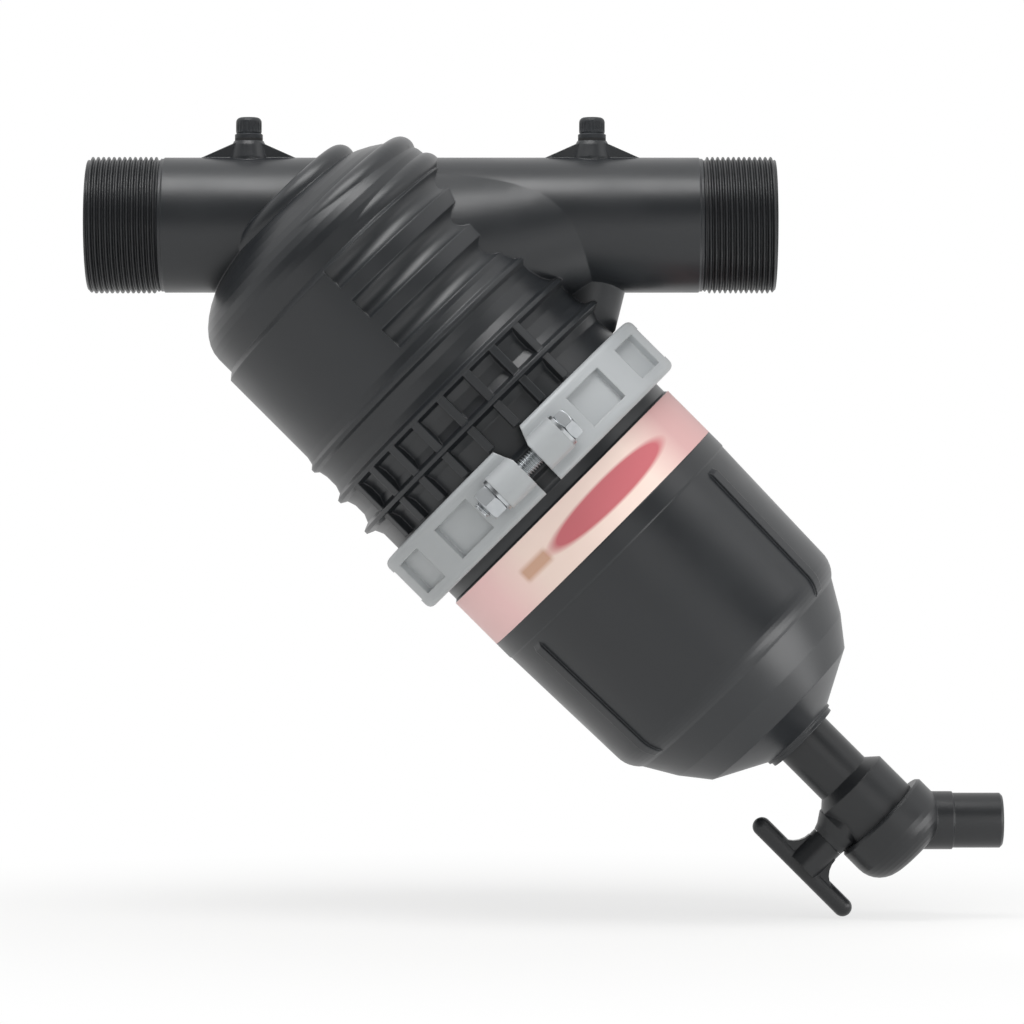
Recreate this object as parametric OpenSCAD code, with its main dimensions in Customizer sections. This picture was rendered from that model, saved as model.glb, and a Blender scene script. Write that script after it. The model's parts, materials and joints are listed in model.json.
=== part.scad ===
// Irrigation disc filter: a moulded Y body with a threaded pipe, a slanted leg
// closed by a clamped cover, a cartridge of grooved discs and a drain ball valve.
// The origin lies on the pipe's axis where the outlet's full thread starts.
// +X runs along the pipe to the inlet, +Z is up, and the leg slants in the XZ plane.
// Leg frame: z runs down the leg from the pipe's axis, x points to the lower left.

/* [Pipe] */
// Length of the pipe between its end faces
pipe_len = 300; // [280:1:340]
// Radius of the thread's crests
thread_r = 29.8; // [28:0.1:32]
// How much slimmer the plain pipe is than the thread
pipe_drop = 0.3; // [0.2:0.1:1]
// Radius of the waterway
pipe_bore_r = 24.5; // [20:0.1:26]
// Length of the thread at each end
thread_len = 31.5; // [24:0.5:36]
// Chamfer at the pipe's ends
end_chamfer = 1.5; // [0.5:0.1:2.5]

/* [Leg] */
// Distance from the outlet's end face to the leg's axis
leg_from_end = 88; // [82:1:96]
// Angle between the pipe and the leg
leg_angle = 45; // [42:1:50]
// Radius of the barrel
barrel_r = 66.4; // [64:0.1:72]
// Wall of the barrel and the dome
barrel_wall = 5.8; // [5.2:0.1:7]
// How much narrower the dome is than the barrel
dome_step = 2.9; // [1.5:0.1:4]
// Height of the dome along the leg
dome_rise = 30; // [26:0.5:34]
// Where the dome ends along the leg
dome_base = 19.7; // [17:0.1:22]
// Length of the dome's straight skirt above the barrel's step
dome_skirt = 8.8; // [5:0.1:12]
// Distance along the leg to the joint of body and cover
joint_s = 148; // [142:1:165]

/* [Seat of the cartridge] */
// Where the diaphragm lies along the leg
diaphragm_s = 22; // [20:0.5:24]
// Thickness of the diaphragm
diaphragm_t = 4; // [3:0.5:6]
// Radius of the seat's bore
seat_r = 26; // [24:0.1:28]
// Length of the seat's collar below the diaphragm
collar_len = 8; // [6:0.5:12]
// Wall of the seat's collar
collar_wall = 3.5; // [2:0.1:5]

/* [Ribs] */
// Number of rings above the flange
ring_count = 3; // [1:1:3]
// Pitch of those rings
ring_pitch = 17.6; // [16:0.1:20]
// Distance from the last ring to the joint
ring_to_joint = 29.5; // [26:0.5:34]
// Height of the last ring
ring_h = 5.3; // [3:0.1:6]
// Drop in height from one ring to the next
ring_drop = 1.35; // [0.5:0.05:1.6]
// Height of the axial ribs between rings and flange
axial_rib_h = 3.6; // [1.5:0.1:4]
// Thickness of the axial ribs
axial_rib_t = 3.8; // [2:0.1:5]
// Number of axial ribs in a full turn
axial_rib_count = 28; // [12:4:28]
// Pitch of the grooves round the upper barrel
groove_pitch = 17.8; // [16:0.1:20]
// Number of those grooves
groove_count = 3; // [1:1:3]
// Depth of those grooves
groove_h = 3.2; // [1:0.1:3.6]
// Radius of a groove's hollow
groove_r = 6.5; // [4:0.1:7.5]
// Angle that the grooves cover, over the upper right
groove_sweep = 188; // [150:1:200]
// Radius of the ridges' round backs on the dome
ridge_r = 6; // [4:0.1:7]
// How far the ridges lie off the leg's axis, so that they sink into the dome at the lower left
ridge_shift = 4; // [3:0.1:6]
// Radius of the round gusset under the inlet pipe
gusset_r = 15; // [10:0.5:20]
// Distance of the gusset behind the clamp's corner
gusset_back = 2; // [1.5:0.5:8]
// Lean of the gusset towards the outlet
gusset_lean = 14; // [0:1:20]

/* [Flange and seal] */
// Height of both flanges over the barrel
flange_h = 4.5; // [3.5:0.1:6]
// Thickness of a flange at its rim
flange_t = 5; // [4:0.1:7]
// How much thicker a flange is at its root
flange_taper = 2.1; // [1:0.1:3]
// Gap between the two flange faces
joint_gap = 0.4; // [0.2:0.1:1]
// Radius of the cover seal's cord
seal_r = 1.6; // [1.2:0.1:2]
// Clearance between parts that seat on each other
seat_gap = 0.1; // [0.05:0.05:0.2]

/* [Clamp] */
// Width of the clamp along the leg
clamp_w = 28.5; // [24:0.5:34]
// Wall of the clamp outside the flanges
clamp_wall = 4.2; // [3:0.1:6]
// Clearance between the clamp and the flanges
clamp_gap = 0.3; // [0.2:0.05:0.5]
// Rounding of the clamp's outer edges
clamp_edge = 3; // [1:0.1:4]
// Opening between the two halves
split_gap = 8.8; // [6:0.1:12]
// Depth of the pockets in the clamp's outside
pocket_depth = 2.8; // [1:0.1:3]
// Width of the pockets along the leg
pocket_w = 17; // [12:0.5:20]
// Angle that a pocket covers
pocket_angle = 17; // [10:1:20]
// Angle from one pocket to the next
pocket_pitch = 29; // [22:1:30]
// Number of pockets in a half
pocket_count = 5; // [1:1:5]
// Length of a lug from the split
lug_len = 14; // [12:0.5:20]
// Radius of the clamp bolt
bolt_r = 4; // [3:0.5:5]
// Plastic outside the bolt's hole
lug_wall = 4.2; // [3.5:0.1:6]
// Radius of the hinge pin
pin_r = 3; // [2.5:0.1:4]
// Wall of the hinge knuckles
knuckle_wall = 3.4; // [2.5:0.1:5]

/* [Cover] */
// Wall of the cover
cover_wall = 4.2; // [3:0.1:6]
// How much narrower the cover's neck is than the barrel
neck_step = 2.2; // [1.5:0.1:3]
// How much narrower the cover's rim is than the barrel
cover_step = 0.8; // [0.5:0.1:1.4]
// Distance from the joint to the shoulder of the cover
shoulder_from_joint = 117.5; // [105:0.5:135]
// Taper of the cover's radius down to the shoulder
cover_taper = 2.3; // [1:0.1:4]
// Radius of the shoulder's rounding
shoulder_r = 14; // [10:0.5:18]
// Length of the cone from the shoulder to the end face
cone_len = 36; // [30:0.5:44]
// Height of the cover's axial ribs
cover_rib_h = 1.4; // [0.6:0.1:2]
// Angle that one of those ribs covers
cover_rib_angle = 4.5; // [3:0.5:6]
// Angle of those ribs from the front and the back
cover_rib_at = 54; // [40:1:65]

/* [Label] */
// Distance from the joint to the label band
label_from_joint = 20; // [18:0.5:24]
// Width of the label band
label_w = 25.3; // [20:0.1:28]
// Thickness of the label band
label_t = 0.6; // [0.3:0.1:0.8]

/* [Cartridge] */
// Radius of the discs
disc_r = 50; // [44:0.5:52]
// Radius of the hole in the discs
disc_bore_r = 32.5; // [30:0.5:35]
// Thickness of a disc
disc_t = 3; // [2:0.1:4]
// Depth of the notch at a disc's rim
disc_notch = 0.8; // [0.4:0.1:1]
// Where the discs start along the leg
discs_s = 61; // [58:1:66]
// Clearance of the discs round the core
disc_gap = 0.4; // [0.2:0.1:0.8]
// Wall of the spine
spine_wall = 3.5; // [2.5:0.1:5]
// Radius of the spine's stud
stud_r = 9; // [7:0.5:11]
// Thickness of the pressure plate
plate_t = 5; // [4:0.5:7]
// Distance from the joint to the pressure plate
plate_from_joint = 108; // [98:1:116]
// Length of the spring
spring_len = 12; // [10:0.5:14]
// Radius of the spring's wire
wire_r = 1.2; // [0.8:0.1:1.5]
// Turns of the spring
spring_turns = 3; // [2:1:4]
// Height of the wing nut
wing_nut_h = 13; // [10:0.5:16]
// Reach of the wing nut's wings past its hub
wing_len = 9; // [6:0.5:12]

/* [Drain valve] */
// Radius of the valve's threaded tail
tail_r = 13.2; // [12:0.1:14]
// Length of the tail that stands out of the cover
tail_out = 25; // [20:0.5:32]
// Length of the tail inside the cover's boss
tail_in = 16; // [12:0.5:18]
// Radius of the drain's waterway
drain_bore_r = 8; // [6:0.1:8.4]
// Radius of the valve's body
valve_r = 18.2; // [17:0.1:20]
// Radius of the ball
ball_r = 11.5; // [11:0.1:12]
// Radius of the ball's through bore
ball_bore_r = 7.5; // [6:0.1:7.8]
// Clearance between the ball and its seats
ball_gap = 0.25; // [0.2:0.05:0.4]
// Radius of the stem
stem_r = 5; // [4.5:0.1:6]
// Running clearance of the stem in its bonnet
stem_gap = 0.06; // [0.03:0.01:0.1]
// Distance from the ball's centre to the end of the bonnet
bonnet_end = 26; // [24:0.5:28]
// Distance from the ball's centre to the handle's bar
bar_at = 40; // [36:0.5:44]
// Length of the handle's bar
bar_len = 58; // [46:1:66]
// Radius of the handle's bar
bar_r = 4.15; // [3:0.05:5]
// Radius of the elbow's knuckle
knuckle_r = 23.3; // [22:0.1:25]
// Length of the knuckle along the leg
knuckle_len = 21.2; // [18:0.1:26]
// Radius of the knuckle's rounding
knuckle_round = 12.5; // [8:0.5:14]
// Radius of the elbow's outlet neck
outlet_r = 12.7; // [12:0.1:13.5]
// Length of that neck from the leg's axis
outlet_len = 29; // [28:0.5:36]
// Radius of the hose spigot on the neck
spigot_r = 12; // [10:0.1:12.5]
// Length of the hose spigot
spigot_len = 22; // [16:1:32]

/* [Test ports] */
// Distance of each test port from its end face: the outlet's
outlet_port_at = 70; // [50:1:74]
// Distance of the inlet's test port from the inlet's end face
inlet_port_at = 80; // [50:1:84]
// Height of a port's boss over the pipe
port_h = 7.2; // [5:0.1:10]
// Radius of a port's boss
port_r = 6.5; // [6:0.1:8]
// Reach of a port's web along the pipe
saddle_r = 21; // [14:0.5:24]
// Thickness of that web
saddle_w = 9; // [6:0.5:12]
// Radius of the port's bore
port_bore_r = 4.1; // [3:0.1:4.5]
// Radius of a test cap
cap_r = 5.6; // [5:0.1:7]
// Height of a test cap
cap_h = 9.2; // [7:0.1:12]
// Thickness of the washer under a test cap
washer_t = 1.2; // [0.8:0.1:2]

/* [Hidden] */
$fn = 96;

// Colours of the mouldings, metals, seals and print
charcoal = "#3f4347";
black = "#2b2d30";
clamp_grey = "#a2a5a8";
steel = "#b9bcc0";
seal_black = "#1c1c1e";
label_pink = "#f0cdc6";
disc_red = "#8e2f2c";
seat_white = "#e4e4df";

// Overlap that joins solids and lets cuts pass through a face
eps = 0.5;

// Pipe between its threads, and its ends seen from the origin
pipe_r = thread_r - pipe_drop;
runout = 1.5;
pipe_x0 = -end_chamfer;
pipe_x1 = pipe_len - end_chamfer;
leg_x = pipe_x0 + leg_from_end;

// Barrel and dome
dome_r = barrel_r - dome_step;
barrel_top = dome_base + dome_skirt;
bore_r = barrel_r - barrel_wall;
seat_end = diaphragm_s + diaphragm_t + collar_len;

// Flanges, seal and clamp, as distances from the joint
flange_r = barrel_r + flange_h;
face_off = joint_gap / 2;
flange_rim = face_off + flange_t;
flange_root = flange_rim + flange_taper;
seal_at_r = (bore_r + flange_r) / 2 - 0.6;
groove_depth = 2 * (seal_r - seat_gap);
clamp_half_w = clamp_w / 2;
clamp_r = flange_r + clamp_gap + clamp_wall;
lip_r = barrel_r + 2.5 * clamp_gap;
bolt_at_r = clamp_r + bolt_r + 2.6;
bolt_hole_r = bolt_r + 0.3;
lug_r = bolt_hole_r + lug_wall;
lug_end = split_gap / 2 + lug_len;
pin_hole_r = pin_r + seat_gap;
hinge_r = pin_hole_r + knuckle_wall;
hinge_at_r = clamp_r + hinge_r - 2;
hinge_mid = clamp_w / 3;

// Cover, as radii and distances along the leg
neck_r = barrel_r - neck_step;
rim_r = barrel_r - cover_step;
label_s = joint_s + label_from_joint;
label_end_s = label_s + label_w;
label_in_r = rim_r - label_t;
band_step_s = label_end_s + 8.3;
shoulder_s = joint_s + shoulder_from_joint;
shoulder_drop = 12.5;
shoulder_turn = 50;
cone_steps = [13, 22.3];
shoulder_top_r = rim_r - cover_taper;
cone_s = shoulder_s + shoulder_drop;
cover_end_s = cone_s + cone_len + 3;

// Cartridge
neck_out_r = seat_r - 4 * seat_gap;
neck_in_r = neck_out_r - 4.1;
ring_seal_r = 1.45;
ring_seal_s = diaphragm_s + 7;
ring_groove_r = seat_r - 2 * ring_seal_r - 2 * seat_gap;
core_r = disc_bore_r - disc_gap;
plate_s = joint_s + plate_from_joint;
core_end_s = plate_s - 4;
spring_s = plate_s + plate_t;
nut_s = spring_s + spring_len;
stud_end_s = nut_s + wing_nut_h + 4;
spring_r = stud_r + 2.6 + wire_r;
wing_t = 5;

// Drain valve, along the leg
boss_r = tail_r + seat_gap + 4;
tail_s = cover_end_s - tail_in;
valve_s = cover_end_s + tail_out;
valve_cone = 4.5;
seat_t = 4.2;
seat_off = 5.1;
chamber_r = ball_r + 0.9;
ball_s = valve_s + valve_cone + seat_t + 6;
chamber_s = ball_s - seat_off - seat_t;
valve_end_s = ball_s + seat_off + seat_t;
bonnet_r = stem_r + 3;
bonnet_step = 1.6;
spigot_gap = 0.3;
elbow_s = valve_end_s + 0.3;
skirt_s = valve_end_s - 1.2;
elbow_axis_s = elbow_s + 1.6;
knuckle_end_s = elbow_s + knuckle_len;
square_side = 1.3 * stem_r;
stem_ring_r = 0.85;
stem_groove_r = stem_r - 2 * stem_ring_r - 0.1;
stem_ring_x = bonnet_end - 5;
tang_w = 9;
tang_t = 4;
tang_in = 3;
collar_x0 = chamber_r + 2 * seat_gap;
collar_x = collar_x0 + 2;

// Test ports
port_top = pipe_r + port_h;
outlet_port_x = pipe_x0 + outlet_port_at;
inlet_port_x = pipe_x1 - inlet_port_at;

// Radius of an ellipsoid of radius r and height h at place s along the leg
function dome_at(s, r, h) = r * sqrt(max(0, 1 - pow((dome_base - s) / h, 2)));

// Outline of a dome from its apex to its base
function dome_points(r, h, steps = 14) =
    [for (i = [0 : steps]) let (a = 90 * i / steps) [r * sin(a), dome_base - h * cos(a)]];

// Arc of radius r round c from angle a0 to a1
function arc(c, r, a0, a1, steps = 8) =
    [for (i = [0 : steps]) let (a = a0 + (a1 - a0) * i / steps) c + r * [cos(a), sin(a)]];

// Outline of the cover below its label, shrunk by the wall t
function cover_tail(t) = let (
        c = [shoulder_top_r - shoulder_r, shoulder_s],
        end_r = boss_r + 0.6
    ) concat(
        [[rim_r - t, band_step_s], [rim_r - t - 0.4, band_step_s + 0.6]],
        arc(c, shoulder_r - t, 0, shoulder_turn, 6),
        [[shoulder_top_r - cone_steps[0] - t, cone_s + 0.33 * cone_len],
         [shoulder_top_r - cone_steps[1] - 0.8 * t, cone_s + 0.66 * cone_len - 0.3 * t],
         [end_r, cone_s + cone_len - 1.1 * t]]
    );

// Turns children into the leg's frame
module leg() {
    translate([leg_x, 0, 0]) rotate([0, 90 + leg_angle, 0]) children();
}

// Places children on the leg's axis with their z along the pipe
module along_pipe_at(s) {
    translate([leg_x + s * cos(leg_angle), 0, -s * sin(leg_angle)]) rotate([0, 90, 0]) children();
}

// Straight tube along z
module tube(r_out, r_in, z0, z1) {
    difference() {
        translate([0, 0, z0]) cylinder(r = r_out, h = z1 - z0);
        translate([0, 0, z0 - eps]) cylinder(r = r_in, h = z1 - z0 + 2 * eps);
    }
}

// Round cord bent to a ring
module ring_cord(major, cord, z) {
    translate([0, 0, z]) rotate_extrude() translate([major, 0]) circle(r = cord, $fn = 32);
}

// Pipe with a thread's crest cylinder, a run-out groove and a chamfer at each end
module pipe_outside() {
    half = [
        [thread_r - end_chamfer, 0], [thread_r, end_chamfer], [thread_r, thread_len],
        [pipe_r - 0.5, thread_len + 0.4], [pipe_r - 0.5, thread_len + runout],
        [pipe_r, thread_len + runout + 0.5]
    ];
    mirrored = [for (i = [len(half) - 1 : -1 : 0]) [half[i][0], pipe_len - half[i][1]]];
    translate([pipe_x0, 0, 0]) rotate([0, 90, 0]) rotate_extrude()
        polygon(concat([[0, 0]], half, mirrored, [[0, pipe_len]]));
}

module pipe_bore() {
    translate([pipe_x0 - eps, 0, 0]) rotate([0, 90, 0]) cylinder(r = pipe_bore_r, h = pipe_len + 2 * eps);
}

// Barrel, dome and flange as one turned shape
module barrel_outside() {
    rotate_extrude() polygon(concat(
        dome_points(dome_r, dome_rise),
        [[dome_r, barrel_top - 1], [barrel_r, barrel_top + 1.5],
         [barrel_r, joint_s - flange_root], [flange_r, joint_s - flange_rim],
         [flange_r, joint_s - face_off], [0, joint_s - face_off]]
    ));
}

// Rings above the flange, with hollow flanks
module barrel_rings() {
    for (i = [0 : ring_count - 1]) {
        h = ring_h - ring_drop * i;
        translate([0, 0, joint_s - ring_to_joint - ring_pitch * i]) rotate_extrude() polygon([
            [bore_r + 1, -6], [barrel_r, -6], [barrel_r + 0.3 * h, -2.4], [barrel_r + h, -0.8],
            [barrel_r + h, 0.8], [barrel_r + 0.3 * h, 2.4], [barrel_r, 6], [bore_r + 1, 6]
        ]);
    }
}

// Ribs along the leg from the second ring to the clamp, on the front and the back
module axial_ribs() {
    top = joint_s - ring_to_joint - ring_pitch;
    low = joint_s - clamp_half_w - 1;
    pitch = 360 / axial_rib_count;
    for (i = [0 : axial_rib_count - 1]) {
        a = pitch * (i + 0.5);
        if (abs(abs(a - 180) - 102) < 50)
            rotate([0, 0, a]) translate([bore_r + 1, -axial_rib_t / 2, top])
                cube([barrel_wall - 1 + axial_rib_h, axial_rib_t, low - top]);
    }
}

// Round-backed ridge that stands out at the upper right and sinks into the dome at the lower left
module ridge(s, r) {
    translate([-ridge_shift, 0, s]) rotate_extrude() translate([r - ridge_shift, 0]) circle(r = ridge_r);
}

// Ridges over the dome: two on its crown and one that carries the barrel's face up to its skirt
module dome_ridges() {
    crown_s = dome_base - 0.82 * dome_rise;
    rim_s = dome_base - 0.28 * dome_rise;
    ridge(crown_s, dome_at(crown_s, dome_r, dome_rise));
    ridge(rim_s, dome_at(rim_s, dome_r, dome_rise) - 0.6 * ridge_r);
    ridge(barrel_top - 0.7 * ridge_r, barrel_r - ridge_r);
}

// Hollow grooves round the upper right of the barrel, with plain end walls at the front and the back
module barrel_grooves() {
    for (i = [0 : groove_count - 1])
        translate([0, 0, barrel_top + 0.8 * groove_r + groove_pitch * i])
            rotate([0, 0, 180 - groove_sweep / 2]) rotate_extrude(angle = groove_sweep)
                translate([barrel_r - groove_h + groove_r, 0]) circle(r = groove_r);
}

// Flare that leads the inlet pipe into the barrel
module inlet_flare() {
    long = barrel_r + 16;
    small = pipe_r - 2.3;
    big = 0.69 * barrel_r;
    tilt = atan((big - small) / long);
    x = leg_x + 2 * barrel_r + 0.3;
    translate([x, 0, 0]) rotate([0, -90 - tilt, 0]) cylinder(r1 = small, r2 = big, h = long);
}

// Round gusset in the angle under the inlet pipe, cut off just above the clamp
module inlet_gusset() {
    x = leg_x + (joint_s - clamp_half_w) * cos(leg_angle) + clamp_r * sin(leg_angle) - gusset_back;
    reach = 2 * gusset_r;
    cut_s = joint_s - clamp_half_w - 2 * clamp_gap;
    intersection() {
        translate([x - gusset_r, 0, 0]) translate([0, 0, -pipe_r]) rotate([0, gusset_lean, 0])
            translate([0, 0, -reach]) cylinder(r = gusset_r, h = 1.5 * reach);
        leg() translate([0, 0, cut_s - 2 * pipe_len]) cylinder(r = pipe_len, h = 2 * pipe_len);
    }
}

// Boss of a test port, with a tent-shaped web along the pipe
module port_boss(x) {
    translate([x, 0, 0]) rotate_extrude() polygon([
        [0, pipe_bore_r + 1], [port_r + 2.5, pipe_bore_r + 1], [port_r + 2.5, pipe_r],
        [port_r + 0.8, port_top - 1.6], [port_r, port_top], [0, port_top]
    ]);
    translate([x, 0, 0]) rotate([90, 0, 0]) linear_extrude(height = saddle_w, center = true) polygon([
        [-saddle_r, pipe_bore_r + 2], [saddle_r, pipe_bore_r + 2], [saddle_r, pipe_r - 0.5],
        [port_r - 1, port_top - 0.8], [1 - port_r, port_top - 0.8], [-saddle_r, pipe_r - 0.5]
    ]);
}

module port_bore(x) {
    translate([x, 0, pipe_bore_r - 2]) cylinder(r = port_bore_r, h = port_top);
}

// Water spaces of the body: the outlet's above the diaphragm, the inlet's below it
module water_space(above) {
    reach = 2 * pipe_len;
    cut_s = above ? diaphragm_s - reach : diaphragm_s + diaphragm_t;
    intersection() {
        union() {
            pipe_bore();
            leg() if (above)
                rotate_extrude() polygon(concat(
                    dome_points(dome_r - barrel_wall, dome_rise - barrel_wall),
                    [[dome_r - barrel_wall, barrel_top], [0, barrel_top]]
                ));
            else
                translate([0, 0, diaphragm_s]) cylinder(r = bore_r, h = joint_s - diaphragm_s + eps);
        }
        leg() translate([-reach / 2, -reach / 2, cut_s]) cube(reach);
    }
}

module body() {
    color(charcoal) difference() {
        union() {
            difference() {
                union() {
                    pipe_outside();
                    leg() {
                        difference() {
                            barrel_outside();
                            barrel_grooves();
                        }
                        barrel_rings();
                        axial_ribs();
                        dome_ridges();
                    }
                    inlet_flare();
                    inlet_gusset();
                    port_boss(outlet_port_x);
                    port_boss(inlet_port_x);
                }
                water_space(true);
                water_space(false);
                port_bore(outlet_port_x);
                port_bore(inlet_port_x);
            }
            leg() tube(seat_r + collar_wall, seat_r - 1, diaphragm_s + 1, seat_end);
        }
        leg() translate([0, 0, diaphragm_s - eps]) cylinder(r = seat_r, h = seat_end - diaphragm_s + 2 * eps);
        leg() tube(seal_at_r + seal_r + 0.4, seal_at_r - seal_r - 0.4,
            joint_s - face_off - groove_depth, joint_s + eps);
    }
}

module cover_outline(t, top) {
    polygon(concat([[0, top]], cover_tail(t), [[0, cone_s + cone_len - 1.1 * t]]));
}

// Outside of the cover from its flange to its drain boss
module cover_outside() {
    rotate_extrude() polygon(concat(
        [[0, joint_s + face_off], [flange_r, joint_s + face_off], [flange_r, joint_s + flange_rim],
         [barrel_r, joint_s + flange_root], [barrel_r, joint_s + clamp_half_w - 2],
         [neck_r, joint_s + clamp_half_w + 0.2], [neck_r, label_s - 1],
         [label_in_r, label_s - 0.3], [label_in_r, label_end_s], [rim_r, label_end_s]],
        cover_tail(0),
        [[boss_r, cone_s + cone_len + 0.6], [boss_r, cover_end_s], [0, cover_end_s]]
    ));
}

// One of the ribs along the cover, following its taper
module cover_rib(a) {
    tail = cover_tail(0);
    top = band_step_s + 3;
    low = len(tail) - 5;
    rotate([0, 0, a - cover_rib_angle / 2]) rotate_extrude(angle = cover_rib_angle) polygon(concat(
        [[rim_r - 3, top], [rim_r - 0.5, top], [rim_r + cover_rib_h - 0.6, top + 2.5]],
        [for (i = [2 : low]) tail[i] + [cover_rib_h - 0.15, 0]],
        [tail[low] + [-4, 2]]
    ));
}

module cover() {
    color(charcoal) leg() difference() {
        union() {
            difference() {
                union() {
                    cover_outside();
                    for (side = [0, 180], turn = [-1, 1]) cover_rib(side - 90 + turn * cover_rib_at);
                }
                rotate_extrude() cover_outline(cover_wall, band_step_s - 1);
                translate([0, 0, joint_s]) cylinder(r = neck_r - cover_wall, h = band_step_s - joint_s);
            }
            tube(boss_r + 1, tail_r - 1, tail_s, cover_end_s - 2);
        }
        translate([0, 0, tail_s - eps]) cylinder(r = tail_r + seat_gap, h = tail_in + 2 * eps);
    }
}

module cover_seal() {
    color(seal_black) leg() ring_cord(seal_at_r, seal_r, joint_s + face_off - seat_gap / 2 - seal_r);
}

module label_band() {
    color(label_pink) leg() tube(rim_r, label_in_r + seat_gap, label_s, label_end_s - seat_gap);
}

// Space that the two flanges take inside the clamp, with its clearance
module clamp_groove() {
    rim = flange_rim + clamp_gap;
    root = flange_root + clamp_gap;
    translate([0, 0, joint_s]) rotate_extrude() polygon([
        [0, -clamp_w], [lip_r, -clamp_w], [lip_r, -root], [flange_r + clamp_gap, -rim],
        [flange_r + clamp_gap, rim], [lip_r, root], [lip_r, clamp_w], [0, clamp_w]
    ]);
}

// Full ring of the clamp, with rounded outer edges
module clamp_ring() {
    e = clamp_edge;
    c = [clamp_r - e, clamp_half_w - e];
    translate([0, 0, joint_s]) rotate_extrude() polygon(concat(
        [[lip_r - 2, -clamp_half_w]], arc([c[0], -c[1]], e, -90, 0, 4), arc(c, e, 0, 90, 4),
        [[lip_r - 2, clamp_half_w]]
    ));
}

// Pockets in the outside of one half
module clamp_pockets() {
    mid = (pocket_count - 1) / 2;
    for (i = [0 : pocket_count - 1])
        translate([0, 0, joint_s]) rotate([0, 0, (i - mid) * pocket_pitch - pocket_angle / 2])
            rotate_extrude(angle = pocket_angle) translate([clamp_r - pocket_depth, -pocket_w / 2])
                square([pocket_depth + 2, pocket_w]);
}

// Knuckles of the hinge with the arms that carry them, on the x side of the ring
module hinge_knuckles(spans) {
    for (z = spans) translate([0, hinge_at_r, joint_s + z[0]]) {
        cylinder(r = hinge_r, h = z[1] - z[0]);
        translate([0, -hinge_r - 2, 0]) cube([split_gap / 2 + 9, 2 * hinge_r - 1, z[1] - z[0]]);
    }
}

// Round-nosed lug for the bolt, on the x side of the ring's front
module clamp_lug() {
    translate([split_gap / 2, -bolt_at_r, joint_s]) {
        rotate([0, 90, 0]) cylinder(r = lug_r, h = lug_len);
        translate([0, 0, -lug_r]) cube([lug_len, bolt_at_r - lip_r + 2, 2 * lug_r]);
    }
}

// One half of the clamp on the x side, with its lug at the front and its hinge at the back
module clamp_half(spans, clear_spans) {
    difference() {
        union() {
            intersection() {
                clamp_ring();
                translate([split_gap / 2, -2 * clamp_r, joint_s - clamp_w])
                    cube([2 * clamp_r, 4 * clamp_r, 2 * clamp_w]);
            }
            clamp_lug();
            hinge_knuckles(spans);
        }
        clamp_groove();
        clamp_pockets();
        translate([0, -bolt_at_r, joint_s]) rotate([0, 90, 0]) cylinder(r = bolt_hole_r, h = lug_end + 10);
        translate([0, hinge_at_r, joint_s - clamp_w]) cylinder(r = pin_hole_r, h = 2 * clamp_w);
        for (z = clear_spans) translate([0, hinge_at_r, joint_s + z[0] - clamp_gap])
            cylinder(r = hinge_r + clamp_gap, h = z[1] - z[0] + 2 * clamp_gap);
        translate([0, 0, joint_s - clamp_half_w]) rotate([90, 0, 0]) linear_extrude(height = 2 * clamp_r)
            polygon([[0, -1], [split_gap * 0.95, -1], [split_gap / 2 - 1, 11], [0, 11]]);
    }
}

outer_spans = [[-clamp_half_w, -hinge_mid / 2 - clamp_gap], [hinge_mid / 2 + clamp_gap, clamp_half_w]];
inner_spans = [[-hinge_mid / 2, hinge_mid / 2]];

module clamp_lower_half() {
    color(clamp_grey) leg() clamp_half(outer_spans, inner_spans);
}

module clamp_upper_half() {
    color(clamp_grey) leg() mirror([1, 0, 0]) clamp_half(inner_spans, outer_spans);
}

module clamp_hinge_pin() {
    head = 1.6;
    color(steel) leg() translate([0, hinge_at_r, joint_s - clamp_half_w]) {
        cylinder(r = pin_r, h = clamp_w + 1.5);
        translate([0, 0, -head]) cylinder(r = pin_r + 1.5, h = head);
    }
}

bolt_washer_t = 1.6;
bolt_head_h = 1.33 * bolt_r;
nut_h = 1.7 * bolt_r;
hex_r = 1.92 * bolt_r;

// Places children on the bolt's axis with z along it, from the upper half to the lower
module on_bolt() {
    leg() translate([0, -bolt_at_r, joint_s]) rotate([0, 90, 0]) children();
}

module clamp_bolt() {
    grip = lug_end + bolt_washer_t;
    color(steel) on_bolt() {
        translate([0, 0, -grip]) cylinder(r = bolt_r, h = 2 * grip + nut_h + 2.5);
        translate([0, 0, -grip - bolt_head_h]) cylinder(r = hex_r, h = bolt_head_h, $fn = 6);
    }
}

module clamp_nut() {
    color(steel) on_bolt() translate([0, 0, lug_end + bolt_washer_t]) difference() {
        cylinder(r = hex_r, h = nut_h, $fn = 6);
        translate([0, 0, -eps]) cylinder(r = bolt_r + seat_gap / 2, h = nut_h + 2 * eps);
    }
}

module clamp_washers() {
    color(steel) on_bolt() {
        tube(2 * bolt_r, bolt_hole_r, lug_end, lug_end + bolt_washer_t);
        tube(2 * bolt_r, bolt_hole_r, -lug_end - bolt_washer_t, -lug_end);
    }
}

// Screw cap: head, flange and shank
module test_cap(x) {
    z = port_top + washer_t;
    shank = port_h + 1;
    color(black) translate([x, 0, 0]) rotate_extrude() polygon([
        [0, z - shank - washer_t], [port_bore_r - seat_gap, z - shank - washer_t],
        [port_bore_r - seat_gap, z],
        [cap_r + 0.5, z], [cap_r + 0.5, z + 1.6], [cap_r - 0.2, z + 2.4], [cap_r, z + cap_h - 2.2],
        [cap_r - 0.7, z + cap_h - 0.8], [cap_r - 2.2, z + cap_h], [0, z + cap_h]
    ]);
}

module test_seal(x) {
    color(seal_black) translate([x, 0, 0]) tube(port_r - 0.4, port_bore_r, port_top, port_top + washer_t);
}

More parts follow.
